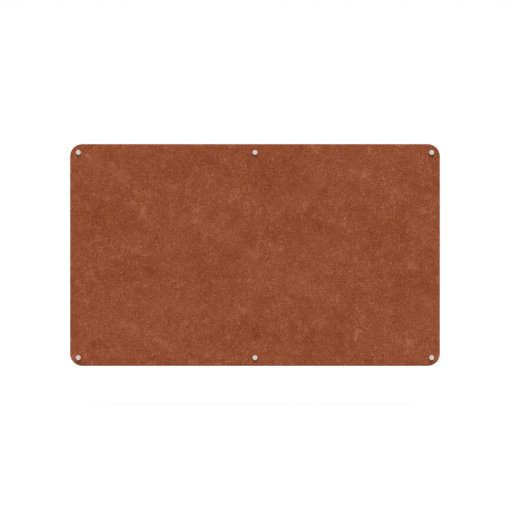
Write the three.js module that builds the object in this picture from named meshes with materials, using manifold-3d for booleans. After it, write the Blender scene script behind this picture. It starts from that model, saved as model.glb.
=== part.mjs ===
// A frameless felt pinboard, held off the wall by six turned aluminium fixings.
// Lengths are in millimetres. +X runs to the right, +Z runs up and the front faces -Y.
// The origin is the middle of the board on the face of the wall, so the board hangs in front of y = 0
// and the wall screws and their plugs go into the wall behind it.

import * as THREE from 'three';
import { mergeVertices } from 'three/addons/utils/BufferGeometryUtils.js';
import Module from 'manifold-3d';

const wasm = await Module();
wasm.setup();

// The felt board, a standard 1500 by 900 panel with rounded corners
const boardWidth = 1500;
const boardHeight = 900;
const boardThickness = 12;
const boardCornerRadius = 50;
const boardEdgeRounding = 1;

// Where the fixings go through it: the distance of their axes from the board's edges
const fixingInset = 34;

// The barrel that stands on the wall, and the cap that screws into it
const standoffDiameter = 20;
const barrelLength = 15;
const barrelBaseThickness = 4;
const barrelRimChamfer = 0.5;
const barrelMouthChamfer = 0.6;
const capThickness = 5;
const capFrontChamfer = 0.8;
const capBackChamfer = 0.2;

// The stud behind the cap, its distance from the bottom of the bore, and its chamfered tip
const studDiameter = 10;
const studTipClearance = 2;
const studTipChamfer = 1;

// The washers on both sides of the felt
const washerThickness = 1;
const washerRimInset = 0.5;

// The countersunk wall screw, with a cross recess
const screwLength = 45;
const screwDiameter = 4.5;
const screwHeadDiameter = 8.4;
const screwHeadRim = 0.5;
const screwTipLength = 6;
const recessDepth = 2.2;
const recessWingWidth = 1.1;
const recessWall = 0.25;

// The wall plug, pushed in below the face of the wall, and split behind its collar so that it spreads
const plugLength = 40;
const plugSinkDepth = 2.5;
const plugWallThickness = 1.45;
const plugCollarLength = 12;
const plugSlotWidth = 1;
const plugTipChamfer = 0.6;

// Clearances, on the radius
const threadClearance = 0.3;
const feltHoleClearance = 0.5;
const screwHoleClearance = 0.4;

// How far a cutter runs past what it cuts
const cutterOverrun = 1;

// How finely the round pieces are divided
const turnedSegments = 32;
const screwSegments = 20;
const cornerSegments = 10;
const edgeRoundingSegments = 2;

// Radii
const standoffRadius = standoffDiameter / 2;
const studRadius = studDiameter / 2;
const threadBoreRadius = studRadius + threadClearance;
const screwRadius = screwDiameter / 2;
const screwHeadRadius = screwHeadDiameter / 2;

// The stack, as distances out from the wall
const feltBack = barrelLength + washerThickness;
const feltFront = feltBack + boardThickness;
const capBack = feltFront + washerThickness;
const capFront = capBack + capThickness;
const studTip = barrelBaseThickness + studTipClearance;

function feltMaterial() {
  return new THREE.MeshStandardMaterial({ color: 0x934f34, roughness: 0.95, metalness: 0 });
}

function aluminiumMaterial() {
  return new THREE.MeshStandardMaterial({ color: 0xcfcdca, roughness: 0.35, metalness: 1 });
}

function washerMaterial() {
  return new THREE.MeshStandardMaterial({ color: 0xe4e2dc, roughness: 0.5, metalness: 0 });
}

function zincMaterial() {
  return new THREE.MeshStandardMaterial({ color: 0xb9bcc0, roughness: 0.3, metalness: 1 });
}

function plugMaterial() {
  return new THREE.MeshStandardMaterial({ color: 0x9a9c9e, roughness: 0.6, metalness: 0 });
}

// Turns a profile about the Y axis. Its points are [radius, distance out from the wall], and the
// outside of the piece runs from its front to its back, which points the faces outwards.
function turned(profile, segments) {
  const points = profile.map(([radius, distance]) => new THREE.Vector2(radius, -distance));
  return new THREE.LatheGeometry(points, segments);
}

// A geometry as a closed solid, with its shared corners merged and its empty triangles left out
function solidOf(geometry) {
  const bare = geometry.clone();
  bare.deleteAttribute('normal');
  bare.deleteAttribute('uv');
  const merged = mergeVertices(bare);
  const corners = merged.index.array;
  const triangles = [];
  for (let first = 0; first < corners.length; first += 3) {
    const [a, b, c] = corners.subarray(first, first + 3);
    if (a !== b && b !== c && c !== a) {
      triangles.push(a, b, c);
    }
  }
  return new wasm.Manifold(new wasm.Mesh({
    numProp: 3,
    vertProperties: new Float32Array(merged.attributes.position.array),
    triVerts: new Uint32Array(triangles),
  }));
}

// A solid as a geometry again
function geometryOf(solid) {
  const mesh = solid.getMesh();
  const geometry = new THREE.BufferGeometry();
  geometry.setAttribute('position', new THREE.BufferAttribute(mesh.vertProperties, 3));
  geometry.setIndex(new THREE.BufferAttribute(mesh.triVerts, 1));
  geometry.computeVertexNormals();
  return geometry;
}

function roundedRectangle(width, height, radius) {
  const right = width / 2 - radius;
  const top = height / 2 - radius;
  const quarterTurn = Math.PI / 2;
  const shape = new THREE.Shape();
  shape.absarc(right, top, radius, 0, quarterTurn);
  shape.absarc(-right, top, radius, quarterTurn, 2 * quarterTurn);
  shape.absarc(-right, -top, radius, 2 * quarterTurn, 3 * quarterTurn);
  shape.absarc(right, -top, radius, 3 * quarterTurn, 4 * quarterTurn);
  shape.closePath();
  return shape;
}

// Every fixing has a name and a place on the board
function fixingPlaces() {
  const columns = { left: -1, middle: 0, right: 1 };
  const rows = { top: 1, bottom: -1 };
  const places = [];
  for (const [row, upward] of Object.entries(rows)) {
    for (const [column, rightward] of Object.entries(columns)) {
      places.push({
        name: `${row}_${column}`,
        x: rightward * (boardWidth / 2 - fixingInset),
        z: upward * (boardHeight / 2 - fixingInset),
      });
    }
  }
  return places;
}

// The panel is drawn lying down and stood up with its depth running out from the wall.
// Its cut edges are rounded over a little, and it is drilled for the studs.
function feltBoardGeometry(places) {
  const blank = new THREE.ExtrudeGeometry(roundedRectangle(boardWidth, boardHeight, boardCornerRadius), {
    depth: boardThickness - 2 * boardEdgeRounding,
    curveSegments: cornerSegments,
    bevelEnabled: true,
    bevelThickness: boardEdgeRounding,
    bevelSize: boardEdgeRounding,
    bevelOffset: -boardEdgeRounding,
    bevelSegments: edgeRoundingSegments,
  });
  const across = new THREE.Vector3(1, 0, 0);
  const up = new THREE.Vector3(0, 0, 1);
  const outFromWall = new THREE.Vector3(0, -1, 0);
  blank.translate(0, 0, feltBack + boardEdgeRounding);
  blank.applyMatrix4(new THREE.Matrix4().makeBasis(across, up, outFromWall));

  const holeRadius = studRadius + feltHoleClearance;
  const drillLength = boardThickness + 2 * cutterOverrun;
  let board = solidOf(blank);
  for (const { x, z } of places) {
    const drill = new THREE.CylinderGeometry(holeRadius, holeRadius, drillLength, turnedSegments);
    drill.translate(x, -(feltBack + feltFront) / 2, z);
    board = board.subtract(solidOf(drill));
  }
  return geometryOf(board);
}

// A disc with a chamfered rim and its stud in one piece
function capGeometry() {
  return turned([
    [0, capFront],
    [standoffRadius - capFrontChamfer, capFront],
    [standoffRadius, capFront - capFrontChamfer],
    [standoffRadius, capBack + capBackChamfer],
    [standoffRadius - capBackChamfer, capBack],
    [studRadius, capBack],
    [studRadius, studTip + studTipChamfer],
    [studRadius - studTipChamfer, studTip],
    [0, studTip],
  ], turnedSegments);
}

function washerGeometry(back) {
  const outerRadius = standoffRadius - washerRimInset;
  const front = back + washerThickness;
  return turned([
    [outerRadius, front],
    [outerRadius, back],
    [threadBoreRadius, back],
    [threadBoreRadius, front],
    [outerRadius, front],
  ], turnedSegments);
}

// A spacer with a bore for the stud at the front and a countersunk hole for the screw in its base.
// The countersink follows the screw's head at the clearance of the screw hole.
function barrelGeometry() {
  const screwHoleRadius = screwRadius + screwHoleClearance;
  const sinkRadius = screwHeadRadius + screwHoleClearance;
  const sinkShoulder = barrelBaseThickness - screwHeadRim;
  const sinkFloor = sinkShoulder - (screwHeadRadius - screwRadius);
  return turned([
    [standoffRadius - barrelRimChamfer, barrelLength],
    [standoffRadius, barrelLength - barrelRimChamfer],
    [standoffRadius, barrelRimChamfer],
    [standoffRadius - barrelRimChamfer, 0],
    [screwHoleRadius, 0],
    [screwHoleRadius, sinkFloor],
    [sinkRadius, sinkShoulder],
    [sinkRadius, barrelBaseThickness],
    [threadBoreRadius, barrelBaseThickness],
    [threadBoreRadius, barrelLength - barrelMouthChamfer],
    [threadBoreRadius + barrelMouthChamfer, barrelLength],
    [standoffRadius - barrelRimChamfer, barrelLength],
  ], turnedSegments);
}

// The head lies flush with the floor of the barrel's bore, and the tip points into the wall.
// The thread is left as the plain cylinder over its crests.
function wallScrewGeometry() {
  const headTop = barrelBaseThickness;
  const headShoulder = headTop - screwHeadRim;
  const headBottom = headShoulder - (screwHeadRadius - screwRadius);
  const tip = headTop - screwLength;
  const blank = turned([
    [0, headTop],
    [screwHeadRadius, headTop],
    [screwHeadRadius, headShoulder],
    [screwRadius, headBottom],
    [screwRadius, tip + screwTipLength],
    [0, tip],
  ], screwSegments);

  const wingSpan = 2 * (screwRadius - recessWall);
  const cutterDepth = recessDepth + cutterOverrun;
  const cutterMiddle = -(headTop - recessDepth + cutterDepth / 2);
  const levelWing = new THREE.BoxGeometry(wingSpan, cutterDepth, recessWingWidth);
  const uprightWing = new THREE.BoxGeometry(recessWingWidth, cutterDepth, wingSpan);
  levelWing.translate(0, cutterMiddle, 0);
  uprightWing.translate(0, cutterMiddle, 0);
  return geometryOf(solidOf(blank).subtract(solidOf(levelWing)).subtract(solidOf(uprightWing)));
}

// A sleeve whose far end is split crosswise into four fingers
function wallPlugGeometry() {
  const boreRadius = screwRadius + threadClearance;
  const outerRadius = boreRadius + plugWallThickness;
  const mouth = -plugSinkDepth;
  const end = mouth - plugLength;
  const sleeve = turned([
    [outerRadius, mouth],
    [outerRadius, end + plugTipChamfer],
    [outerRadius - plugTipChamfer, end],
    [boreRadius, end],
    [boreRadius, mouth],
    [outerRadius, mouth],
  ], screwSegments);

  const slotLength = plugLength - plugCollarLength + cutterOverrun;
  const slotMiddle = -(mouth - plugCollarLength - slotLength / 2);
  const slotSpan = 2 * (outerRadius + cutterOverrun);
  const levelSlot = new THREE.BoxGeometry(slotSpan, slotLength, plugSlotWidth);
  const uprightSlot = new THREE.BoxGeometry(plugSlotWidth, slotLength, slotSpan);
  levelSlot.translate(0, slotMiddle, 0);
  uprightSlot.translate(0, slotMiddle, 0);
  return geometryOf(solidOf(sleeve).subtract(solidOf(levelSlot)).subtract(solidOf(uprightSlot)));
}

function namedMesh(name, geometry, material) {
  const mesh = new THREE.Mesh(geometry, material);
  mesh.name = name;
  return mesh;
}

// All that holds the board at one place, on an axis square to the wall
function fixing({ name, x, z }) {
  const group = new THREE.Group();
  group.add(
    namedMesh(`cap_${name}`, capGeometry(), aluminiumMaterial()),
    namedMesh(`front_washer_${name}`, washerGeometry(feltFront), washerMaterial()),
    namedMesh(`rear_washer_${name}`, washerGeometry(barrelLength), washerMaterial()),
    namedMesh(`barrel_${name}`, barrelGeometry(), aluminiumMaterial()),
    namedMesh(`wall_screw_${name}`, wallScrewGeometry(), zincMaterial()),
    namedMesh(`wall_plug_${name}`, wallPlugGeometry(), plugMaterial()),
  );
  group.position.set(x, 0, z);
  return group;
}

const places = fixingPlaces();
const pinboard = new THREE.Group();
pinboard.add(namedMesh('felt_board', feltBoardGeometry(places), feltMaterial()));
for (const place of places) {
  pinboard.add(fixing(place));
}

export default pinboard;
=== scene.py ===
# %% [markdown]
# # A felt pinboard on six wall fixings
#
# The real object is one thin panel of pressed felt with rounded corners. Six turned aluminium fixings
# hold it a little off the wall, and each one is a cap, two washers, a barrel, a screw and a wall plug.
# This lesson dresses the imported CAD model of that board: it keeps every place and size of the model,
# and gives every piece a finer shape and a finish of its own.
#
# The frame has to be loaded first, because all later cells ask it where things are.

# %% Load the frame
import math
import random

import bmesh
import bpy
from mathutils import Matrix, Vector, noise


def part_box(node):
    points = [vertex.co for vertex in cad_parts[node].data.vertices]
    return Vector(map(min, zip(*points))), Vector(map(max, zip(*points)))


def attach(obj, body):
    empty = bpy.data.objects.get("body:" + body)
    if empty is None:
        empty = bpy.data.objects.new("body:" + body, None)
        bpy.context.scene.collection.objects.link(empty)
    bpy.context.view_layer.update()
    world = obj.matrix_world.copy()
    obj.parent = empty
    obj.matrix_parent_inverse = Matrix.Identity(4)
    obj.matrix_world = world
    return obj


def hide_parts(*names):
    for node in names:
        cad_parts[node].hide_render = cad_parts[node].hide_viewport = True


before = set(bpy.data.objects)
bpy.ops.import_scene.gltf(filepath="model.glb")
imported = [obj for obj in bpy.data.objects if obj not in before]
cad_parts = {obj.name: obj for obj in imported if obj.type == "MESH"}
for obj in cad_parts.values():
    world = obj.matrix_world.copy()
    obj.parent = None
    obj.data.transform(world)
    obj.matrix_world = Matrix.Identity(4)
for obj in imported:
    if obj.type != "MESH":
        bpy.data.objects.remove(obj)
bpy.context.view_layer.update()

# %% [markdown]
# ## Reading the stack of pieces
#
# On the real board the pieces lie on one another like coins on an axis: plug and screw in the wall,
# then barrel, washer, felt, washer and cap. All of it could be typed in again by hand, but the CAD
# model knows it already, so the boxes of its nodes are read instead. Profiles are easier to think
# about in millimetres, so this cell turns the boxes into distances out from the wall in millimetres.

# %% Read the stack
mm = 0.001


def out_from_wall(node):
    """How far a node's back and front lie in front of the wall, in millimetres."""
    low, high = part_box(node)
    return -high.y / mm, -low.y / mm


def radius_of(node):
    """Half the width of a turned node, in millimetres."""
    low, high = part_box(node)
    return (high.x - low.x) / 2 / mm


felt_back, felt_front = out_from_wall("felt_board")
stud_tip, cap_front = out_from_wall("cap_top_left")
cap_back = out_from_wall("front_washer_top_left")[1]
barrel_back, barrel_front = out_from_wall("barrel_top_left")
screw_tip, screw_top = out_from_wall("wall_screw_top_left")
plug_end, plug_mouth = out_from_wall("wall_plug_top_left")
cap_radius = radius_of("cap_top_left")
washer_radius = radius_of("front_washer_top_left")
barrel_radius = radius_of("barrel_top_left")
screw_head_radius = radius_of("wall_screw_top_left")
plug_radius = radius_of("wall_plug_top_left")

board_low, board_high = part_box("felt_board")
board_width = board_high.x - board_low.x
board_height = board_high.z - board_low.z
board_thickness = board_high.y - board_low.y
print("felt from", round(felt_back, 2), "to", round(felt_front, 2), "mm out from the wall")
print("cap", round(cap_back, 2), "to", round(cap_front, 2), "mm, radius", round(cap_radius, 2))

# %% Find the six fixings
fixing_names = [f"{row}_{column}" for row in ("top", "bottom") for column in ("left", "middle", "right")]
fixing_axes = {}
for name in fixing_names:
    low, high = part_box(f"cap_{name}")
    fixing_axes[name] = ((low.x + high.x) / 2, (low.z + high.z) / 2)
print("fixing axes:", {name: (round(x, 4), round(z, 4)) for name, (x, z) in fixing_axes.items()})

# %% [markdown]
# ## The camera
#
# The photograph looks at the board dead straight, from far enough away that nothing seems to lean.
# A camera six metres in front of the board does the same. Its lens could be found by trial, but the
# board's width in the picture gives it directly: the view has to be as much wider than the board as
# the picture is wider than the board's image.

# %% Place the camera
photo_width_pixels = 510
board_width_pixels = 369.85
camera_distance = 6.0
sensor_width = 36.0

face_distance = camera_distance - felt_front * mm
view_width = board_width * photo_width_pixels / board_width_pixels

camera_data = bpy.data.cameras.new("photo_camera")
camera_data.sensor_fit = "HORIZONTAL"
camera_data.sensor_width = sensor_width
camera_data.lens = sensor_width * face_distance / view_width
camera_data.clip_start = 0.05
camera_data.clip_end = 100
camera = bpy.data.objects.new("photo_camera", camera_data)
camera.location = (0, -camera_distance, 0)
camera.rotation_euler = (math.pi / 2, 0, 0)
bpy.context.scene.collection.objects.link(camera)
bpy.context.scene.camera = camera
bpy.context.scene.view_settings.view_transform = "Standard"
print("lens:", round(camera_data.lens, 2), "mm, view width:", round(view_width, 4), "m")

# %% [markdown]
# ## The light
#
# In the photograph each cap throws a short soft shadow straight down, so the main light stands high
# above the board and a little in front of it, and it is wide. One sun lamp with a broad disc does
# that. Everything else is the even light of a pale studio, which comes from the world. A low weak
# lamp behind the board never reaches its face, and keeps its back from lying in the dark.
#
# The shares of lamps and world are set so that a felt of a given colour has about that same colour in
# the picture. The world is white for the camera and in reflections, and softer where it lights the
# matt surfaces. The lamps are kept out of reflections, where they would put a hard glint on every
# chamfer.

# %% Light the studio
lamp_width = math.radians(32)
key_elevation = math.radians(70)
key_share = 0.50
rear_elevation = math.radians(16)
rear_share = 0.34


def add_lamp(name, share, elevation, side):
    """A wide sun, in front (side 1) or behind (side -1). The share is what an upright face gets."""
    data = bpy.data.lights.new(name, "SUN")
    data.angle = lamp_width
    data.energy = share * math.pi / math.cos(elevation)
    lamp = bpy.data.objects.new(name, data)
    lamp.rotation_euler = (side * (math.pi / 2 - elevation), 0, 0)
    lamp.visible_glossy = False
    bpy.context.scene.collection.objects.link(lamp)
    print(name, "strength:", round(data.energy, 2))


add_lamp("key_light", key_share, key_elevation, 1)
add_lamp("rear_light", rear_share, rear_elevation, -1)

# %% Fill the studio with pale light
world_share = 0.52


def add_node(tree, kind, inputs, **settings):
    """Adds a node. Each of its inputs is given as a value, or as the output that feeds it."""
    made = tree.nodes.new(kind)
    for name, value in settings.items():
        setattr(made, name, value)
    for socket, value in inputs.items():
        if isinstance(value, bpy.types.NodeSocket):
            tree.links.new(value, made.inputs[socket])
        else:
            made.inputs[socket].default_value = value
    return made


def add_seen_as_white(tree):
    """A factor of 1 for the camera, for reflections and for what shows through glass."""
    rays = add_node(tree, "ShaderNodeLightPath", {}).outputs
    total = rays["Is Camera Ray"]
    for kind in ("Is Glossy Ray", "Is Transmission Ray"):
        total = add_node(tree, "ShaderNodeMath", {0: total, 1: rays[kind]}, operation="MAXIMUM").outputs[0]
    return total


world = bpy.data.worlds.new("pale_studio")
bpy.context.scene.world = world
world.use_nodes = True
background = world.node_tree.nodes["Background"]
background.inputs["Color"].default_value = (1, 1, 1, 1)
shares = {"Value": add_seen_as_white(world.node_tree), "To Min": world_share, "To Max": 1}
strength = add_node(world.node_tree, "ShaderNodeMapRange", shares).outputs["Result"]
world.node_tree.links.new(strength, background.inputs["Strength"])
print("world share:", world_share)

# %% [markdown]
# ## The floor
#
# Round the board the picture is white, with the faintest darker band below. That band is the board's
# shadow on a floor, so there is one large plane a little below the board. Its colour comes mostly from
# a plain white glow that only the camera and reflections see, and a small share of really lit white
# keeps the shadow. From below it is clear, so that the underside can be looked at too.

# %% Lay the floor
floor_level = -0.62
floor_size = 40.0
lit_share = 0.05
lit_white = 0.85
floor_bounce = 0.30

floor_mesh = bpy.data.meshes.new("floor")
bm = bmesh.new()
bmesh.ops.create_grid(bm, x_segments=1, y_segments=1, size=floor_size / 2)
bmesh.ops.translate(bm, verts=bm.verts, vec=(0, 0, floor_level))
bm.to_mesh(floor_mesh)
bm.free()
floor = bpy.data.objects.new("floor", floor_mesh)
bpy.context.scene.collection.objects.link(floor)

floor_material = bpy.data.materials.new("white_floor")
floor_material.use_nodes = True
tree = floor_material.node_tree
tree.nodes.clear()
lit_colour = (lit_white, lit_white, lit_white, 1)
bounce_colour = (floor_bounce, floor_bounce, floor_bounce, 1)
lit = add_node(tree, "ShaderNodeBsdfDiffuse", {"Color": lit_colour}).outputs[0]
glow = add_node(tree, "ShaderNodeEmission", {}).outputs[0]
seen = add_node(tree, "ShaderNodeMixShader", {0: lit_share, 1: glow, 2: lit}).outputs[0]
bounce = add_node(tree, "ShaderNodeBsdfDiffuse", {"Color": bounce_colour}).outputs[0]
factor = add_seen_as_white(tree)
by_ray = add_node(tree, "ShaderNodeMixShader", {0: factor, 1: bounce, 2: seen}).outputs[0]
clear = add_node(tree, "ShaderNodeBsdfTransparent", {}).outputs[0]
from_below = add_node(tree, "ShaderNodeNewGeometry", {}).outputs["Backfacing"]
by_side = add_node(tree, "ShaderNodeMixShader", {0: from_below, 1: by_ray, 2: clear}).outputs[0]
add_node(tree, "ShaderNodeOutputMaterial", {"Surface": by_side})
floor_mesh.materials.append(floor_material)
print("floor level:", floor_level)

# %% [markdown]
# ## A workbench for finishes
#
# Every finish here is a Principled shader with a few noise patterns in front of it. Written out node
# by node, that would hide the recipe behind its wiring. This small bench keeps one short call for
# each kind of node, so that a finish reads like a list of what the eye sees on the real surface.

# %% Make the workbench


def linear(red, green, blue):
    """A colour as a picture gives it, 0 to 255, as the light values that shaders work in."""
    values = []
    for level in (red, green, blue):
        share = level / 255
        values.append(share / 12.92 if share <= 0.04045 else ((share + 0.055) / 1.055) ** 2.4)
    return (*values, 1)


class Finish:
    """A material on the bench. Each call adds one node and hands back its output."""

    def __init__(self, name, **shader_values):
        self.material = bpy.data.materials.new(name)
        self.material.use_nodes = True
        self.tree = self.material.node_tree
        self.shader = self.tree.nodes["Principled BSDF"]
        for socket, value in shader_values.items():
            self.shader.inputs[socket.replace("_", " ")].default_value = value

    def node(self, kind, inputs, **settings):
        return add_node(self.tree, kind, inputs, **settings)

    def wear(self, **sockets):
        for socket, value in sockets.items():
            self.tree.links.new(value, self.shader.inputs[socket.replace("_", " ")])

    def object_place(self):
        return self.node("ShaderNodeTexCoord", {}).outputs["Object"]

    def maths(self, operation, first, second=0.0):
        return self.node("ShaderNodeMath", {0: first, 1: second}, operation=operation).outputs[0]

    def vector(self, operation, first, second=(0, 0, 0)):
        made = self.node("ShaderNodeVectorMath", {0: first, 1: second}, operation=operation)
        return made.outputs["Value" if operation in ("LENGTH", "DOT_PRODUCT") else "Vector"]

    def stretched(self, place, factors):
        """The place with each of its parts times a factor of its own."""
        return self.vector("MULTIPLY", place, factors)

    def rotated(self, place, degrees):
        """The place, turned about the Y axis, which runs through the board."""
        inputs = {"Vector": place, "Angle": math.radians(degrees)}
        return self.node("ShaderNodeVectorRotate", inputs, rotation_type="Y_AXIS").outputs["Vector"]

    def wandered(self, place, size, reach, detail=1.0):
        """The place, pushed to and fro by up to half the reach, in waves of the given size."""
        wander = self.node("ShaderNodeTexNoise", {"Vector": place, "Scale": 1 / size, "Detail": detail})
        centred = self.vector("SUBTRACT", wander.outputs["Color"], (0.5, 0.5, 0.5))
        return self.vector("ADD", place, self.stretched(centred, (reach, reach, reach)))

    def parts(self, vector):
        """The three parts of a vector."""
        return self.node("ShaderNodeSeparateXYZ", {"Vector": vector}).outputs

    def noise(self, place, size, detail=2.0, roughness=0.5, distortion=0.0):
        """Noise whose largest spots are about size metres wide."""
        inputs = {"Vector": place, "Scale": 1 / size, "Detail": detail, "Roughness": roughness}
        return self.node("ShaderNodeTexNoise", {**inputs, "Distortion": distortion}).outputs[0]

    def line_noise(self, distance, lines, detail, roughness):
        """Noise along one distance, with about so many lines in a metre."""
        inputs = {"W": distance, "Scale": lines, "Detail": detail, "Roughness": roughness}
        return self.node("ShaderNodeTexNoise", inputs, noise_dimensions="1D").outputs[0]

    def ranged(self, value, low, high, to_low=0.0, to_high=1.0, smooth=False):
        inputs = {"Value": value, "From Min": low, "From Max": high, "To Min": to_low, "To Max": to_high}
        kind = "SMOOTHSTEP" if smooth else "LINEAR"
        return self.node("ShaderNodeMapRange", inputs, interpolation_type=kind).outputs["Result"]

    def total(self, *parts):
        """The sum of several values, each with its weight."""
        result = None
        for value, weight in parts:
            weighted = self.maths("MULTIPLY", value, weight)
            result = weighted if result is None else self.maths("ADD", result, weighted)
        return result

    def ramp(self, value, stops):
        made = self.node("ShaderNodeValToRGB", {"Fac": value})
        elements = made.color_ramp.elements
        elements[0].position, elements[0].color = stops[0]
        elements[1].position, elements[1].color = stops[-1]
        for position, colour in stops[1:-1]:
            elements.new(position).color = colour
        return made.outputs["Color"]

    def bump(self, height, depth, strength):
        inputs = {"Height": height, "Distance": depth, "Strength": strength}
        return self.node("ShaderNodeBump", inputs).outputs["Normal"]


print("the bench is ready")

# %% [markdown]
# ## The felt's finish
#
# Pressed felt is a mat of short curled fibres, and in a mottled one a few of them are lighter than the
# rest. Close by, single fibres curl over the surface. From further off they gather into light clumps
# and darker spots, and from across a room the panel is only a little cloudy. One noise pattern can't
# do all of that, so the tone is added up from several, from hand-sized clouds down to the fibres.
#
# The curls could be drawn as hair, but a panel this large would need millions. A Voronoi pattern does
# it in the shader instead: round every cell's point lies a thin shell, and the piece of that shell on
# one random side of the point is a curl.

# %% Make the fibres
bends_in_curl = 1.3
curl_ends = (0.15, 0.45)
curl_rings = (0.22, 0.46)
layer_shift = (0.13, 0.29, 0.07)
layer_turn = 43
wisp_shift = (0.67, 0.23, 0.41)
wisp_ends = (0.50, 0.62)


def add_curls(finish, place, size, width, bend):
    """Short curled fibres, each on part of a ring of its own. Gives 1 on a fibre and 0 off it."""
    bent = finish.wandered(place, size / bends_in_curl, bend * size)
    scaled = finish.stretched(bent, (1 / size, 1 / size, 1 / size))
    cells = finish.node("ShaderNodeTexVoronoi", {"Vector": scaled, "Scale": 1.0})
    own_side = finish.vector("SUBTRACT", cells.outputs["Color"], (0.5, 0.5, 0.5))
    own_side = finish.vector("NORMALIZE", own_side)
    spoke = finish.vector("SUBTRACT", scaled, cells.outputs["Position"])
    spoke = finish.vector("NORMALIZE", spoke)
    on_side = finish.ranged(finish.vector("DOT_PRODUCT", spoke, own_side), *curl_ends, smooth=True)
    ring = finish.ranged(finish.parts(cells.outputs["Color"])[1], 0, 1, *curl_rings)
    off_ring = finish.maths("ABSOLUTE", finish.maths("SUBTRACT", cells.outputs["Distance"], ring))
    on_ring = finish.ranged(off_ring, 0, width, 1, 0, smooth=True)
    return finish.maths("MULTIPLY", on_ring, on_side)


def add_midlines(finish, field, breadth):
    """Gives 1 along the thin lines on which a noise passes its middle, and 0 off them."""
    off_middle = finish.maths("ABSOLUTE", finish.maths("SUBTRACT", field, 0.5))
    return finish.ranged(off_middle, 0, breadth, 1, 0, smooth=True)


def add_strands(finish, place, width, length, angle, curl, breadth):
    """Long thin fibres that run one way and wander a little."""
    bent = finish.rotated(finish.wandered(place, length, curl), angle)
    drawn_out = finish.stretched(bent, (1 / length, 0.5 / width, 0.5 / width))
    return add_midlines(finish, finish.noise(drawn_out, 1.0, detail=1.0), breadth)


def add_mat(finish, place, width, length, curl, first_angle, layers=4, breadth=0.075):
    """Strands in several directions, the upper ones lying over the lower."""
    mat = None
    for layer in range(layers):
        moved = finish.vector("ADD", place, tuple(part * layer for part in layer_shift))
        angle = first_angle + layer_turn * layer
        strands = add_strands(finish, moved, width, length, angle, curl, breadth)
        mat = strands if mat is None else finish.maths("MAXIMUM", mat, strands)
    return mat


def add_wisps(finish, place, size, width):
    """Long loose strands, here and there."""
    slow = finish.noise(place, size, detail=2.5, roughness=0.6, distortion=0.7)
    line = add_midlines(finish, slow, width)
    elsewhere = finish.vector("ADD", place, wisp_shift)
    here = finish.ranged(finish.noise(elsewhere, size * 0.6, detail=1.0), *wisp_ends, smooth=True)
    return finish.maths("MULTIPLY", line, here)


print("the fibres are ready")

# %% [markdown]
# ### A pattern that comes again
#
# From across a room the same light tufts come again on this felt, every half metre, along lines turned
# by thirty degrees. So the broad part of the pattern is made for one square of half a metre. Noise has
# no repeat of its own, but a circle comes back to its start. So the noise is read round two circles
# at once, one for each direction of the square, and it repeats without a seam. The few tufts that stand
# out most are placed one by one, and their outline is left ragged. The brightest curl is a short row of
# small ones, and it comes only with every second repeat. Each row of the two tables is one tuft: how
# far right and how far up it lies, its reach, all in metres, and how much lighter it is.

# %% Make the repeating pattern
repeat = 0.5
repeat_angle = -30
circle = repeat / (2 * math.pi)
ragged_size = 0.010
ragged_reach = 0.020
face_tufts = (
    (0.074, 0.278, 0.026, 0.220),
    (0.002, 0.498, 0.026, 0.180),
    (0.222, 0.002, 0.020, 0.180),
    (0.082, 0.074, 0.020, 0.180),
    (0.202, 0.278, 0.026, 0.140),
    (0.170, 0.498, 0.026, 0.125),
    (0.366, 0.010, 0.034, 0.090),
    (0.366, 0.398, 0.044, 0.085),
    (0.194, 0.354, 0.044, 0.085),
    (0.298, 0.174, 0.044, 0.080),
    (0.170, 0.230, 0.044, -0.085),
    (0.114, 0.354, 0.034, -0.090),
)
bright_curl = (
    (0.515, -0.056, 0.013, 0.360),
    (0.516, -0.069, 0.013, 0.340),
    (0.518, -0.082, 0.013, 0.270),
    (0.521, -0.094, 0.013, 0.190),
)


def add_repeating_noise(finish, square, shift, start, size, detail, roughness):
    """Noise read round two circles. The start says where in the noise, the shift where on the square."""
    moved = finish.vector("SUBTRACT", square, (shift[0], 0, shift[1]))
    angles = finish.stretched(moved, (1 / circle, 0, 1 / circle))
    cosines = finish.parts(finish.vector("COSINE", angles))
    sines = finish.parts(finish.vector("SINE", angles))
    circles = finish.node("ShaderNodeCombineXYZ", {0: cosines[0], 1: sines[0], 2: cosines[2]}).outputs[0]
    inputs = {
        "Vector": finish.vector("ADD", circles, (start[0] / circle, start[1] / circle, 0)),
        "W": sines[2],
        "Scale": circle / size,
        "Detail": detail,
        "Roughness": roughness,
    }
    return finish.node("ShaderNodeTexNoise", inputs, noise_dimensions="4D").outputs[0]


def add_tufts(finish, square, tufts, period):
    """Ragged spots on the front of the felt, which come again after each period."""
    ragged = finish.wandered(square, ragged_size, ragged_reach, detail=2.0)
    far, near = (period / 2,) * 3, (-period / 2,) * 3
    placed = []
    for right, up, reach, lighter in tufts:
        spoke = finish.vector("SUBTRACT", ragged, (right, -felt_front * mm, up))
        wrapped = finish.node("ShaderNodeVectorMath", {0: spoke, 1: far, 2: near}, operation="WRAP")
        away = finish.vector("LENGTH", wrapped.outputs["Vector"])
        placed.append((finish.ranged(away, 0, reach, 1, 0, smooth=True), lighter))
    return finish.total(*placed)


print("tufts on the square:", len(face_tufts), "and in the bright curl:", len(bright_curl))

# %% [markdown]
# ### All layers of the felt
#
# Now the layers are added up, from the broad pattern down to single fibres. The mixture of the broad
# layers says how light the felt is at a place. Light fibres gather where it is light, and bright curls
# are broken up by the fibres that lie over them. Each layer has its own size in metres.

# %% Mix the broad layers


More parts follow.
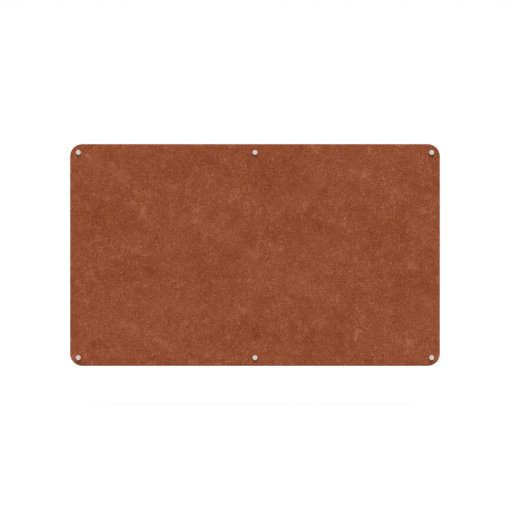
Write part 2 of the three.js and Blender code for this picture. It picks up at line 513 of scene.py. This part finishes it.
def felt_mixture(felt, place):
    """How light the felt is without its fibres, and its grain by itself."""
    drift = felt.noise(place, 0.52, detail=1.0)
    square = felt.rotated(place, repeat_angle)
    clouds = add_repeating_noise(felt, square, (0.330, 0.170), (2.96, 2.87), 0.150, 2.0, 0.55)
    patches = add_repeating_noise(felt, square, (0.270, 0.340), (27.38, 0.41), 0.085, 1.0, 0.50)
    flecks = add_repeating_noise(felt, square, (0.000, 0.300), (30.34, 0.82), 0.045, 2.0, 0.60)
    tufts = add_tufts(felt, square, face_tufts, repeat)
    bright = add_tufts(felt, square, bright_curl, 2 * repeat)
    mottle = felt.noise(place, 0.034, detail=3.0, roughness=0.62)
    clumps = felt.ranged(felt.noise(place, 0.019, detail=2.5, roughness=0.7), 0.60, 0.76, smooth=True)
    spots = felt.ranged(felt.noise(place, 0.0075, detail=1.0), 0.64, 0.74, smooth=True)
    grain = felt.noise(place, 0.0046, detail=1.0, roughness=0.6, distortion=0.4)
    busy = felt.ranged(felt.noise(place, 0.060, detail=1.0), 0.35, 0.65, 0.65, 1.3)
    grain_here = felt.maths("MULTIPLY", felt.maths("SUBTRACT", grain, 0.5), busy)
    mixture = felt.total(
        (drift, 0.04),
        (clouds, -0.195),
        (patches, 0.155),
        (flecks, 0.125),
        (tufts, 1.0),
        (bright, 1.0),
        (mottle, 0.21),
        (grain_here, 0.90),
        (clumps, 0.16),
        (spots, -0.22),
    )
    return mixture, grain


print("the broad layers are ready")

# %% Lay the fibres over them


def felt_fibres(felt, place, mixture):
    """All that is drawn as fibres: strands, the fine mat, the light fibres in it, and loose curls."""
    strands = add_mat(felt, place, 0.0011, 0.016, 0.010, 12)
    fibres = add_mat(felt, place, 0.00022, 0.0052, 0.0032, 31)
    light_fibres = add_mat(felt, place, 0.00030, 0.0110, 0.0090, 67, layers=3, breadth=0.022)
    long_curls = add_curls(felt, place, 0.034, 0.064, 0.9)
    short_curls = add_curls(felt, felt.vector("ADD", place, (0.31, 0.17, 0.53)), 0.019, 0.105, 0.8)
    long_wisps = add_wisps(felt, place, 0.090, 0.015)
    short_wisps = add_wisps(felt, place, 0.048, 0.022)
    wisps = felt.maths("MAXIMUM", long_wisps, short_wisps)
    curls = felt.maths("MAXIMUM", felt.maths("MAXIMUM", long_curls, short_curls), wisps)
    all_fibres = felt.total((fibres, 0.5), (light_fibres, 0.8))
    curls = felt.maths("MULTIPLY", curls, felt.ranged(all_fibres, 0.1, 0.9, 0.25, 2.0))
    light_here = felt.ranged(mixture, 0.00, 0.38, 0.20, 1.0)
    light_fibres = felt.maths("MULTIPLY", light_fibres, light_here)
    return strands, fibres, light_fibres, curls


print("the fibre layers are ready")

# %% [markdown]
# The cut edge of the panel is made darker than its faces. Part of that is the ends of the fibres, and
# part is painted shade, which keeps the rounded rim from lighting up under the high lamp. The edge also
# shows the layers in which the felt was laid. The finish could be two materials, one of them on the
# rim only, but the shader can tell the rim by itself: there the surface doesn't face front or back.

# %% Make the felt's finish
darkest_tone = 0.046
lightest_tone = 1.736


def felt_finish():
    felt = Finish(
        "pressed_felt",
        Metallic=0.0,
        Specular_IOR_Level=0.18,
        Sheen_Weight=0.12,
        Sheen_Roughness=0.45,
        Sheen_Tint=linear(214, 170, 148),
    )
    place = felt.object_place()
    mixture, grain = felt_mixture(felt, place)
    strands, fibres, light_fibres, curls = felt_fibres(felt, place, mixture)
    lint = felt.noise(place, 0.0009, detail=2.0, roughness=0.6, distortion=0.8)
    facing = felt.node("ShaderNodeTexCoord", {}).outputs["Normal"]
    outward = felt.maths("ABSOLUTE", felt.parts(facing)[1])
    cut = felt.ranged(outward, 0.3, 0.95, 1, 0, smooth=True)
    layers = felt.noise(felt.stretched(place, (0.08, 1, 0.08)), 0.0012, detail=2.0)
    layered = felt.maths("MULTIPLY", felt.maths("SUBTRACT", layers, 0.5), cut)
    tone = felt.total(
        (mixture, 0.78),
        (lint, 0.22),
        (curls, 0.28),
        (strands, 0.22),
        (fibres, 0.36),
        (light_fibres, 1.00),
        (layered, 0.90),
        # darker rim: partly fibre ends, partly painted shade on the lamp-lit rounding
        (cut, -0.55),
    )
    felt.wear(Base_Color=felt.ramp(felt.ranged(tone, darkest_tone, lightest_tone), [
        (0.00, linear(90, 28, 7)),
        (0.20, linear(116, 46, 15)),
        (0.50, linear(146, 76, 46)),
        (0.80, linear(178, 109, 80)),
        (1.00, linear(198, 134, 105)),
    ]))
    felt.wear(Roughness=felt.ranged(lint, 0.3, 0.7, 0.99, 0.86))
    height = felt.total((grain, 0.35), (lint, 0.25), (fibres, 0.30), (strands, 0.22))
    felt.wear(Normal=felt.bump(height, 0.0009, 0.6))
    return felt.material


felt_material = felt_finish()
print("felt nodes:", len(felt_material.node_tree.nodes))

# %% [markdown]
# ## The felt panel
#
# The real panel is cut from a sheet, its corners rounded and its cut edges a little soft, and it is
# drilled for the studs. A box with a bevel would have its outline, but nothing in it could move. So
# this one starts as a fine grid: the cells at each corner are bent round, the sheet is extruded to its
# thickness, and the rim is bevelled. With a grid there are points all over the face, so the felt can
# rise and fall a little, and it can be pinched where the caps hold it.

# %% Cut the blank of the panel
corner_radius = 50 * mm
cell = 6.25 * mm
rim_rounding = 1 * mm
fine_reach = 24 * mm


def round_corner(x, z):
    """Bends the square of cells at a corner into a quarter of a disc."""
    middle_x = board_width / 2 - corner_radius
    middle_z = board_height / 2 - corner_radius
    reach_x = abs(x) - middle_x
    reach_z = abs(z) - middle_z
    if reach_x <= 0 or reach_z <= 0:
        return x, z
    longer = max(reach_x, reach_z)
    angle = math.pi / 4 * min(reach_x, reach_z) / longer
    along = longer * math.cos(angle)
    across = longer * math.sin(angle)
    if reach_x < reach_z:
        along, across = across, along
    return math.copysign(middle_x + along, x), math.copysign(middle_z + across, z)


def from_nearest_axis(point):
    """How far a point of the panel is from the nearest fixing's axis."""
    return min(math.hypot(point.x - x, point.z - z) for x, z in fixing_axes.values())


def round_edges(bm, sharper_than, width, segments):
    """Bevels every edge that is sharper than this angle."""
    bmesh.ops.bevel(
        bm,
        geom=[edge for edge in bm.edges if edge.calc_face_angle(0) > sharper_than],
        offset=width,
        offset_type="OFFSET",
        segments=segments,
        profile=0.5,
        affect="EDGES",
        material=-1,
    )


panel = bmesh.new()
columns = round(board_width / cell)
rows = round(board_height / cell)
bmesh.ops.create_grid(panel, x_segments=columns, y_segments=rows, size=0.5)
lying_to_upright = Matrix.Rotation(math.pi / 2, 4, "X")
to_size = Matrix.Diagonal((board_width, board_height, 1, 1))
to_front = Matrix.Translation((0, -felt_front * mm, 0))
bmesh.ops.transform(panel, matrix=to_front @ lying_to_upright @ to_size, verts=panel.verts)
for vert in panel.verts:
    vert.co.x, vert.co.z = round_corner(vert.co.x, vert.co.z)

grown = bmesh.ops.extrude_face_region(panel, geom=panel.faces[:])
back_verts = [item for item in grown["geom"] if isinstance(item, bmesh.types.BMVert)]
bmesh.ops.translate(panel, verts=back_verts, vec=(0, board_thickness, 0))
bmesh.ops.recalc_face_normals(panel, faces=panel.faces[:])
print("grid:", columns, "by", rows, "faces:", len(panel.faces))

# %% Round the rim and cut the cells smaller round the fixings
rim_angle = math.radians(60)
facing_out = 0.9

round_edges(panel, rim_angle, rim_rounding, 3)
edge_strips = [
    edge for edge in panel.edges
    if abs(edge.verts[0].co.y - edge.verts[1].co.y) > board_thickness / 2
]
bmesh.ops.subdivide_edges(panel, edges=edge_strips, cuts=3, use_grid_fill=True)

near_fixings = set()
for face in panel.faces:
    if abs(face.normal.y) > facing_out and from_nearest_axis(face.calc_center_median()) < fine_reach:
        near_fixings.update(face.edges)
bmesh.ops.subdivide_edges(panel, edges=list(near_fixings), cuts=3, use_grid_fill=True)
print("faces with the finer cells:", len(panel.faces))

# %% [markdown]
# A felt face is never quite flat. Its waves are a few tenths of a millimetre high, and the caps press
# it down to its plain thickness. Both could be a texture, but as real relief they also show along the
# edges and in the mesh itself. The relief fades out under the washers, so that they still lie flat.

# %% Raise the relief of the felt
relief_height = 0.34 * mm
wave_sizes = ((0.090, 0.12 * mm), (0.034, 0.11 * mm), (0.015, 0.09 * mm))
fade_at_rim = 5 * mm
fade_at_washer = 11 * mm
on_face = 0.01 * mm


def smooth_step(value):
    value = min(max(value, 0), 1)
    return value * value * (3 - 2 * value)


def felt_relief(point):
    """How far the felt stands proud of its plane at this point."""
    height = relief_height
    for number, (size, share) in enumerate(wave_sizes):
        height += share * noise.noise(point / size + Vector((7.3, 1.9, 4.1)) * number)
    pinched = smooth_step((from_nearest_axis(point) - washer_radius * mm) / fade_at_washer)
    to_side = board_width / 2 - abs(point.x)
    to_top = board_height / 2 - abs(point.z)
    near_rim = smooth_step(min(to_side, to_top) / fade_at_rim)
    return height * pinched * near_rim


for vert in panel.verts:
    if abs(vert.co.y + felt_front * mm) < on_face:
        vert.co.y -= felt_relief(vert.co)
    elif abs(vert.co.y + felt_back * mm) < on_face:
        vert.co.y += felt_relief(vert.co)
print("felt out to", round(max(-vert.co.y for vert in panel.verts) / mm, 2), "mm from the wall")

# %% [markdown]
# ## Closed meshes and Booleans
#
# The holes are drilled last. A Boolean is the quickest drill, as long as both meshes are closed and
# their normals point outwards. These helpers finish a mesh that way, and cut or join two of them.

# %% Make the finishing helpers
sharp_from = math.radians(35)


def finished_mesh(bm, name):
    """Closes the seams, turns the faces outwards and shades them smoothly between the sharp edges."""
    bmesh.ops.remove_doubles(bm, verts=bm.verts, dist=1e-7)
    bmesh.ops.recalc_face_normals(bm, faces=bm.faces[:])
    mesh = bpy.data.meshes.new(name)
    bm.to_mesh(mesh)
    bm.free()
    shade(mesh)
    return mesh


def shade(mesh):
    for polygon in mesh.polygons:
        polygon.use_smooth = True
    mesh.set_sharp_from_angle(angle=sharp_from)


def machined(first, second, operation):
    """One closed mesh out of two, joined or with the second cut out of the first."""
    pair = [bpy.data.objects.new("machined", mesh) for mesh in (first, second)]
    for item in pair:
        bpy.context.scene.collection.objects.link(item)
    boolean = pair[0].modifiers.new("machine", "BOOLEAN")
    boolean.operation = operation
    boolean.solver = "MANIFOLD"
    boolean.object = pair[1]
    depsgraph = bpy.context.evaluated_depsgraph_get()
    result = bpy.data.meshes.new_from_object(pair[0].evaluated_get(depsgraph), depsgraph=depsgraph)
    for item in pair:
        bpy.data.objects.remove(item)
    shade(result)
    return result


def open_edges(mesh):
    """How many edges of a mesh don't lie between two faces. A closed mesh has none."""
    bm = bmesh.new()
    bm.from_mesh(mesh)
    count = sum(len(edge.link_faces) != 2 for edge in bm.edges)
    bm.free()
    return count


def show(name, mesh, body, nodes, material):
    """Puts a finished piece in the scene, on its body, in place of its CAD nodes."""
    mesh.materials.clear()
    mesh.materials.append(material)
    piece = bpy.data.objects.new(name, mesh)
    bpy.context.scene.collection.objects.link(piece)
    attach(piece, body)
    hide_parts(*nodes)


print("the helpers are ready")

# %% Drill the panel
hole_radius = 5.5 * mm
drill_overrun = 4 * mm
drill_segments = 48

drills = bmesh.new()
for x, z in fixing_axes.values():
    middle = Matrix.Translation((x, -(felt_back + felt_front) / 2 * mm, z))
    bmesh.ops.create_cone(
        drills,
        cap_ends=True,
        segments=drill_segments,
        radius1=hole_radius,
        radius2=hole_radius,
        depth=board_thickness + drill_overrun,
        matrix=middle @ lying_to_upright,
    )
panel_mesh = machined(finished_mesh(panel, "felt_blank"), finished_mesh(drills, "drills"), "DIFFERENCE")
panel_mesh.name = "felt_panel"
show("felt_panel", panel_mesh, "board", ["felt_board"], felt_material)
print("panel faces:", len(panel_mesh.polygons), "open edges:", open_edges(panel_mesh))

# %% [markdown]
# ## Turned pieces
#
# The caps, barrels, washers and plugs of the real fixings are all round, turned on a lathe or moulded.
# A lathe follows half of the outline round an axis, and so does Blender's spin: the outline is drawn
# as a row of points, each a radius and a distance out from the wall, and spun once about the axis.
# Afterwards a small bevel breaks every sharp edge, as a file or a mould does on the real piece.

# %% Make the lathe
broken_from = math.radians(20)


def turned(outline, closed, steps, broken_edge=0.0):
    """Spins an outline of (radius, distance out from the wall) in millimetres about the Y axis."""
    bm = bmesh.new()
    points = [bm.verts.new((radius * mm, -distance * mm, 0)) for radius, distance in outline]
    ends = points[1:] + points[:1] if closed else points[1:]
    lines = [bm.edges.new(pair) for pair in zip(points, ends)]
    bmesh.ops.spin(
        bm,
        geom=points + lines,
        cent=(0, 0, 0),
        axis=(0, 1, 0),
        dvec=(0, 0, 0),
        angle=2 * math.pi,
        steps=steps,
        use_merge=True,
    )
    bmesh.ops.remove_doubles(bm, verts=bm.verts, dist=1e-7)
    bmesh.ops.recalc_face_normals(bm, faces=bm.faces[:])
    if broken_edge:
        round_edges(bm, broken_from, broken_edge * mm, 2)
    return bm


print("the lathe is ready")

# %% [markdown]
# ## Threads
#
# A thread is one tooth that winds along the rod. A texture of rings would look right only from afar,
# and these caps unscrew, so their studs do get seen. Spin can climb while it turns: the outline of one
# tooth, as long as the pitch, climbs by one pitch in each turn, so that every turn ends where the next
# one begins. The two ragged ends are cut off flat and closed.

# %% Make the thread cutter


def threaded_rod(tooth, pitch, back, front, steps=32):
    """A right-hand thread from back to front. The tooth is rows of (radius, share of the pitch)."""
    bm = bmesh.new()
    start = -(front + pitch)
    points = [bm.verts.new((radius * mm, (start + share * pitch) * mm, 0)) for radius, share in tooth]
    lines = [bm.edges.new(pair) for pair in zip(points, points[1:])]
    turns = math.ceil((front - back) / pitch) + 2
    bmesh.ops.spin(
        bm,
        geom=points + lines,
        cent=(0, 0, 0),
        axis=(0, 1, 0),
        dvec=(0, pitch * mm / steps, 0),
        angle=2 * math.pi * turns,
        steps=steps * turns,
        use_merge=False,
    )
    bmesh.ops.remove_doubles(bm, verts=bm.verts, dist=1e-6)
    for distance, outwards in ((front, -1), (back, 1)):
        everything = bm.verts[:] + bm.edges[:] + bm.faces[:]
        cut = bmesh.ops.bisect_plane(
            bm,
            geom=everything,
            plane_co=(0, -distance * mm, 0),
            plane_no=(0, outwards, 0),
            dist=1e-7,
            clear_outer=True,
        )
        rim = [item for item in cut["geom_cut"] if isinstance(item, bmesh.types.BMEdge)]
        bmesh.ops.holes_fill(bm, edges=rim, sides=0)
    bmesh.ops.recalc_face_normals(bm, faces=bm.faces[:])
    return bm


def taper(bm, tip, run, end_radius, full_radius):
    """Draws the end of a rod in to a smaller radius over the last stretch before its tip."""
    for vert in bm.verts:
        from_tip = abs(-vert.co.y / mm - tip)
        if from_tip < run:
            share = from_tip / run
            factor = (end_radius + (full_radius - end_radius) * share) / full_radius
            vert.co.x *= factor
            vert.co.z *= factor


print("the thread cutter is ready")

# %% [markdown]
# ## Where a pattern follows the axis
#
# Turning leaves fine rings round the axis of each piece. The material could hold the place of that
# axis, but then every fixing would need its own. So each turned mesh carries its own coordinates as an
# attribute, measured from its axis while it still stands at the origin, and then it is moved to its
# fixing. Each copy is also turned by an angle of its own, as nothing screwed in by hand lines up.

# %% Make the fixing helper
turn_dice = random.Random(11)


def give_axis_place(mesh):
    attribute = mesh.attributes.new("axis_place", "FLOAT_VECTOR", "POINT")
    for item, vert in zip(attribute.data, mesh.vertices):
        item.vector = vert.co


def fit_to_fixings(kind, mesh, body, material):
    """Puts one copy of a piece on every fixing's axis. In the body's name {} is the fixing's own."""
    give_axis_place(mesh)
    for name, (x, z) in fixing_axes.items():
        copy = mesh.copy()
        copy.name = f"{kind}_{name}"
        angle = turn_dice.uniform(0, 2 * math.pi)
        copy.transform(Matrix.Translation((x, 0, z)) @ Matrix.Rotation(angle, 4, "Y"))
        show(f"shown_{kind}_{name}", copy, body.format(name), [f"{kind}_{name}"], material)
    print(kind, "faces:", len(mesh.polygons), "open edges:", open_edges(mesh))
    bpy.data.meshes.remove(mesh)


print("the fixing helper is ready")

# %% [markdown]
# ## The finish of turned aluminium
#
# The caps look almost white, because satin aluminium mirrors the pale room. What tells it from paint
# is the fine track of the cutting tool: rings on the flat face, lines round the side. They come from
# noise that reads only the distance from the axis and the distance along it. The colour is nearly
# even, with the faint cloudiness that anodised metal has.

# %% Make the aluminium finish
side_share = 0.83
wobble_reach = 0.00006


def aluminium_finish(name, colour, roughness):
    metal = Finish(name, Metallic=1.0, Specular_IOR_Level=0.5)
    place = metal.node("ShaderNodeAttribute", {}, attribute_name="axis_place").outputs["Vector"]
    from_axis = metal.vector("LENGTH", metal.stretched(place, (1, 0, 1)))
    along = metal.parts(place)[1]
    track = metal.maths("ADD", from_axis, metal.maths("MULTIPLY", along, side_share))
    wobble = metal.noise(place, 0.006, detail=1.0)
    track = metal.maths("ADD", track, metal.maths("MULTIPLY", wobble, wobble_reach))
    fine = metal.line_noise(track, 9000.0, detail=2.0, roughness=0.7)
    broad = metal.line_noise(track, 1300.0, detail=1.0, roughness=0.5)
    cloudy = metal.noise(metal.object_place(), 0.012, detail=3.0, roughness=0.6)
    lighter = (*(min(value * 1.07, 1) for value in colour[:3]), 1)
    darker = (*(value * 0.92 for value in colour[:3]), 1)
    mixed = metal.total((fine, 0.35), (broad, 0.3), (cloudy, 0.35))
    metal.wear(Base_Color=metal.ramp(mixed, [(0.25, darker), (0.5, colour), (0.75, lighter)]))
    metal.wear(Roughness=metal.ranged(mixed, 0.3, 0.7, roughness - 0.05, roughness + 0.06))
    metal.wear(Normal=metal.bump(metal.total((fine, 0.5), (broad, 0.5)), 0.000015, 0.5))
    return metal.material


cap_metal = aluminium_finish("turned_cap_aluminium", linear(217, 208, 202), 0.40)
barrel_metal = aluminium_finish("turned_barrel_aluminium", linear(203, 201, 199), 0.40)
print("aluminium nodes:", len(cap_metal.node_tree.nodes))

# %% [markdown]
# ## The caps
#
# A cap is a flat disc with a broad chamfer round its face and a stud in one piece with it. The disc is
# turned, with a neck behind it where the thread runs out. The stud is a rod with a real thread of
# 1.5 mm pitch, chamfered at its tip so that it finds its bore, and a Boolean joins the two.

# %% Turn the caps
stud_radius = 5.0
thread_root = 4.1
thread_pitch = 1.5
neck_radius = 4.0
neck_length = 1.6
thread_end = cap_back - 0.7
tip_radius = 3.9
tip_length = 1.0
face_chamfer = 0.8
back_chamfer = 0.25
metric_tooth = (
    (thread_root, 0),
    (thread_root, 0.25),
    (stud_radius, 0.5625),
    (stud_radius, 0.6875),
    (thread_root, 1),
)

cap_head = turned(
    [
        (0, cap_front),
        (cap_radius - face_chamfer, cap_front),
        (cap_radius, cap_front - face_chamfer),
        (cap_radius, cap_back + back_chamfer),
        (cap_radius - back_chamfer, cap_back),
        (neck_radius, cap_back),
        (neck_radius, cap_back - neck_length),
        (0, cap_back - neck_length),
    ],
    closed=False,
    steps=96,
    broken_edge=0.07,
)
stud = threaded_rod(metric_tooth, thread_pitch, stud_tip, thread_end)
taper(stud, stud_tip, tip_length, tip_radius, stud_radius)
cap_mesh = machined(finished_mesh(cap_head, "cap_head"), finished_mesh(stud, "stud"), "UNION")
fit_to_fixings("cap", cap_mesh, "cap_{}", cap_metal)

# %% [markdown]
# ## The barrels
#
# A barrel is a spacer with a blind bore for the stud and a countersunk hole in its base for the wall
# screw. Its outline goes up the outside, over the mouth, down the bore and out through the base, so
# one spin makes the inside as well.

# %% Turn the barrels
bore_radius = 5.3
barrel_floor = screw_top
screw_hole_radius = 2.65
sink_radius = 4.6
barrel_chamfer = 0.5
mouth_chamfer = 0.6
sink_shoulder = barrel_floor - 0.5
sink_floor = sink_shoulder - (sink_radius - screw_hole_radius)

barrel_blank = turned(
    [
        (barrel_radius - barrel_chamfer, barrel_front),
        (barrel_radius, barrel_front - barrel_chamfer),
        (barrel_radius, barrel_back + barrel_chamfer),
        (barrel_radius - barrel_chamfer, barrel_back),
        (screw_hole_radius, barrel_back),
        (screw_hole_radius, sink_floor),
        (sink_radius, sink_shoulder),
        (sink_radius, barrel_floor),
        (bore_radius, barrel_floor),
        (bore_radius, barrel_front - mouth_chamfer),
        (bore_radius + mouth_chamfer, barrel_front),
    ],
    closed=True,
    steps=96,
    broken_edge=0.06,
)
barrel_mesh = finished_mesh(barrel_blank, "barrel")
fit_to_fixings("barrel", barrel_mesh, "board", barrel_metal)

# %% [markdown]
# ## The washers
#
# Between metal and felt lies a thin washer of milky plastic, punched from sheet and soft at its edges.
# It lets some light in, which the shader's subsurface share gives. The plugs are plastic as well, so
# one recipe serves both: slow clouds, drawn out the way the plastic flowed, and fine pores.

# %% Make the finish of plastic


def plastic_finish(name, colours, flow, pore_size, roughness, pore_bump, **shader_values):
    plastic = Finish(name, Metallic=0.0, **shader_values)
    place = plastic.object_place()
    cloudy = plastic.noise(plastic.stretched(place, flow), 0.004, detail=2.0)
    pores = plastic.noise(place, pore_size, detail=2.0, roughness=0.6)
    tone = plastic.total((cloudy, 0.6), (pores, 0.4))
    plastic.wear(Base_Color=plastic.ramp(tone, [(0.3, colours[0]), (0.7, colours[1])]))
    plastic.wear(Roughness=plastic.ranged(pores, 0.3, 0.7, *roughness))
    plastic.wear(Normal=plastic.bump(pores, *pore_bump))
    return plastic.material


washer_plastic = plastic_finish(
    "milky_washer",
    colours=(linear(214, 211, 203), linear(233, 231, 225)),
    flow=(1, 1, 1),
    pore_size=0.0005,
    roughness=(0.42, 0.55),
    pore_bump=(0.00003, 0.5),
    Subsurface_Weight=0.35,
    Subsurface_Scale=0.002,
    Specular_IOR_Level=0.5,
)
plug_plastic = plastic_finish(
    "moulded_plug_plastic",
    colours=(linear(145, 147, 150), linear(163, 165, 167)),
    flow=(1, 0.25, 1),
    pore_size=0.0006,
    roughness=(0.5, 0.66),
    pore_bump=(0.00006, 0.6),
    Specular_IOR_Level=0.45,
)
print("plastic nodes:", len(plug_plastic.node_tree.nodes))

# %% Punch the washers


def washer_blank(node):
    back, front = out_from_wall(node)
    outline = [(washer_radius, front), (washer_radius, back), (bore_radius, back), (bore_radius, front)]
    return finished_mesh(turned(outline, closed=True, steps=72, broken_edge=0.18), "washer")


front_blank = washer_blank("front_washer_top_left")
rear_blank = washer_blank("rear_washer_top_left")
fit_to_fixings("front_washer", front_blank, "washer_{}", washer_plastic)
fit_to_fixings("rear_washer", rear_blank, "board", washer_plastic)

# %% [markdown]
# ## The wall screws
#
# A wall screw has a countersunk head with a cross in it, a plain neck, and a sharp, widely spaced
# thread down to a point. Head and neck are turned, and the thread is a rod whose last stretch is
# tapered almost to nothing. The cross is pressed in with two tapered blades.

# %% Make the screw's finish


def zinc_finish():
    zinc = Finish("zinc_plated_steel", Metallic=1.0, Specular_IOR_Level=0.5)
    place = zinc.object_place()
    cloudy = zinc.noise(place, 0.003, detail=3.0, roughness=0.6)
    crystals = zinc.node("ShaderNodeTexVoronoi", {"Vector": place, "Scale": 2600.0}).outputs["Distance"]
    tone = zinc.total((cloudy, 0.8), (crystals, 0.25))
    zinc.wear(Base_Color=zinc.ramp(tone, [
        (0.30, linear(170, 174, 180)),
        (0.55, linear(190, 192, 194)),
        (0.80, linear(204, 202, 192)),
    ]))
    zinc.wear(Roughness=zinc.ranged(cloudy, 0.3, 0.7, 0.22, 0.42))
    zinc.wear(Normal=zinc.bump(crystals, 0.00001, 0.4))
    return zinc.material


zinc_plate = zinc_finish()
print("zinc nodes:", len(zinc_plate.node_tree.nodes))

# %% Make the screws
screw_radius = 2.25
screw_root = 1.5
screw_pitch = 2.2
screw_neck = 1.7
thread_start = -4.0
neck_end = thread_start - 0.6
point_length = 6.0
point_radius = 0.12
head_rim = 0.5
wood_tooth = (
    (screw_root, 0),
    (screw_root, 0.55),
    (screw_radius, 0.76),
    (screw_radius, 0.80),
    (screw_root, 1),
)

head_shoulder = screw_top - head_rim
head_bottom = head_shoulder - (screw_head_radius - screw_neck)
screw_head = turned(
    [
        (0, screw_top),
        (screw_head_radius, screw_top),
        (screw_head_radius, head_shoulder),
        (screw_neck, head_bottom),
        (screw_neck, neck_end),
        (0, neck_end),
    ],
    closed=False,
    steps=48,
    broken_edge=0.06,
)
shank = threaded_rod(wood_tooth, screw_pitch, screw_tip, thread_start, steps=24)
taper(shank, screw_tip, point_length, point_radius, screw_radius)
screw_mesh = machined(finished_mesh(screw_head, "head"), finished_mesh(shank, "shank"), "UNION")
print("screw faces before the cross is pressed in:", len(screw_mesh.polygons))

# %% Press in the cross
recess_length = 4.4
recess_width = 1.05
recess_depth = 2.2
length_at_point = 0.42
width_at_point = 0.62
above_head = 0.4


def cut_crosswise(mesh, make_blade):
    """Cuts a mesh with a blade, and again with the blade turned by a quarter about the Y axis."""
    for quarter in (0, 1):
        blade = make_blade()
        turn = Matrix.Rotation(quarter * math.pi / 2, 3, "Y")
        bmesh.ops.rotate(blade, verts=blade.verts, cent=(0, 0, 0), matrix=turn)
        mesh = machined(mesh, finished_mesh(blade, "blade"), "DIFFERENCE")
    return mesh


def recess_blade():
    """One blade of the cross, wide at the top of the head and narrow at its point."""
    bm = bmesh.new()
    bmesh.ops.create_cube(bm, size=1)
    for vert in bm.verts:
        deep = vert.co.y > 0
        vert.co.x *= (length_at_point if deep else 1.0) * recess_length * mm
        vert.co.z *= (width_at_point if deep else 1.0) * recess_width * mm
        vert.co.y = (-(screw_top - recess_depth) if deep else -(screw_top + above_head)) * mm
    return bm


screw_mesh = cut_crosswise(screw_mesh, recess_blade)
fit_to_fixings("wall_screw", screw_mesh, "board", zinc_plate)

# %% [markdown]
# ## The wall plugs
#
# The plug is a moulded sleeve. Its collar is smooth, and behind it barbed rings grip the masonry and
# four slots let the sleeve spread round the screw. The barbs are part of the outline, and the slots
# are sawn with two long blades.

# %% Mould the plugs
plug_bore = 2.55
rim_length = 1.2
rim_step = 0.25
collar_length = 12.0
barb_spacing = 2.4
barb_count = 10
barb_depth = 0.5
barb_land = 0.25
first_barb = 0.8
barb_gap = 0.35
slot_width = 1.0
saw_width = 12.0

outline = [
    (plug_radius - 0.15, plug_mouth),
    (plug_radius, plug_mouth - 0.4),
    (plug_radius, plug_mouth - rim_length),
    (plug_radius - rim_step, plug_mouth - rim_length - 0.5),
    (plug_radius - rim_step, plug_mouth - collar_length),
]
for number in range(barb_count):
    top = plug_mouth - collar_length - first_barb - number * barb_spacing
    outline.append((plug_radius, top))
    outline.append((plug_radius, top - barb_land))
    outline.append((plug_radius - barb_depth, top - barb_spacing + barb_gap))
outline.append((plug_radius - 0.6, plug_end))
outline.append((plug_bore, plug_end))
outline.append((plug_bore, plug_mouth))
plug_mesh = finished_mesh(turned(outline, closed=True, steps=48), "plug")


def slot_saw():
    """A long thin blade, from behind the collar to just past the end of the plug."""
    front = plug_mouth - collar_length
    back = plug_end - 1
    bm = bmesh.new()
    bmesh.ops.create_cube(bm, size=1)
    bmesh.ops.scale(bm, verts=bm.verts, vec=(saw_width * mm, (front - back) * mm, slot_width * mm))
    bmesh.ops.translate(bm, verts=bm.verts, vec=(0, -(front + back) / 2 * mm, 0))
    return bm


plug_mesh = cut_crosswise(plug_mesh, slot_saw)
fit_to_fixings("wall_plug", plug_mesh, "board", plug_plastic)
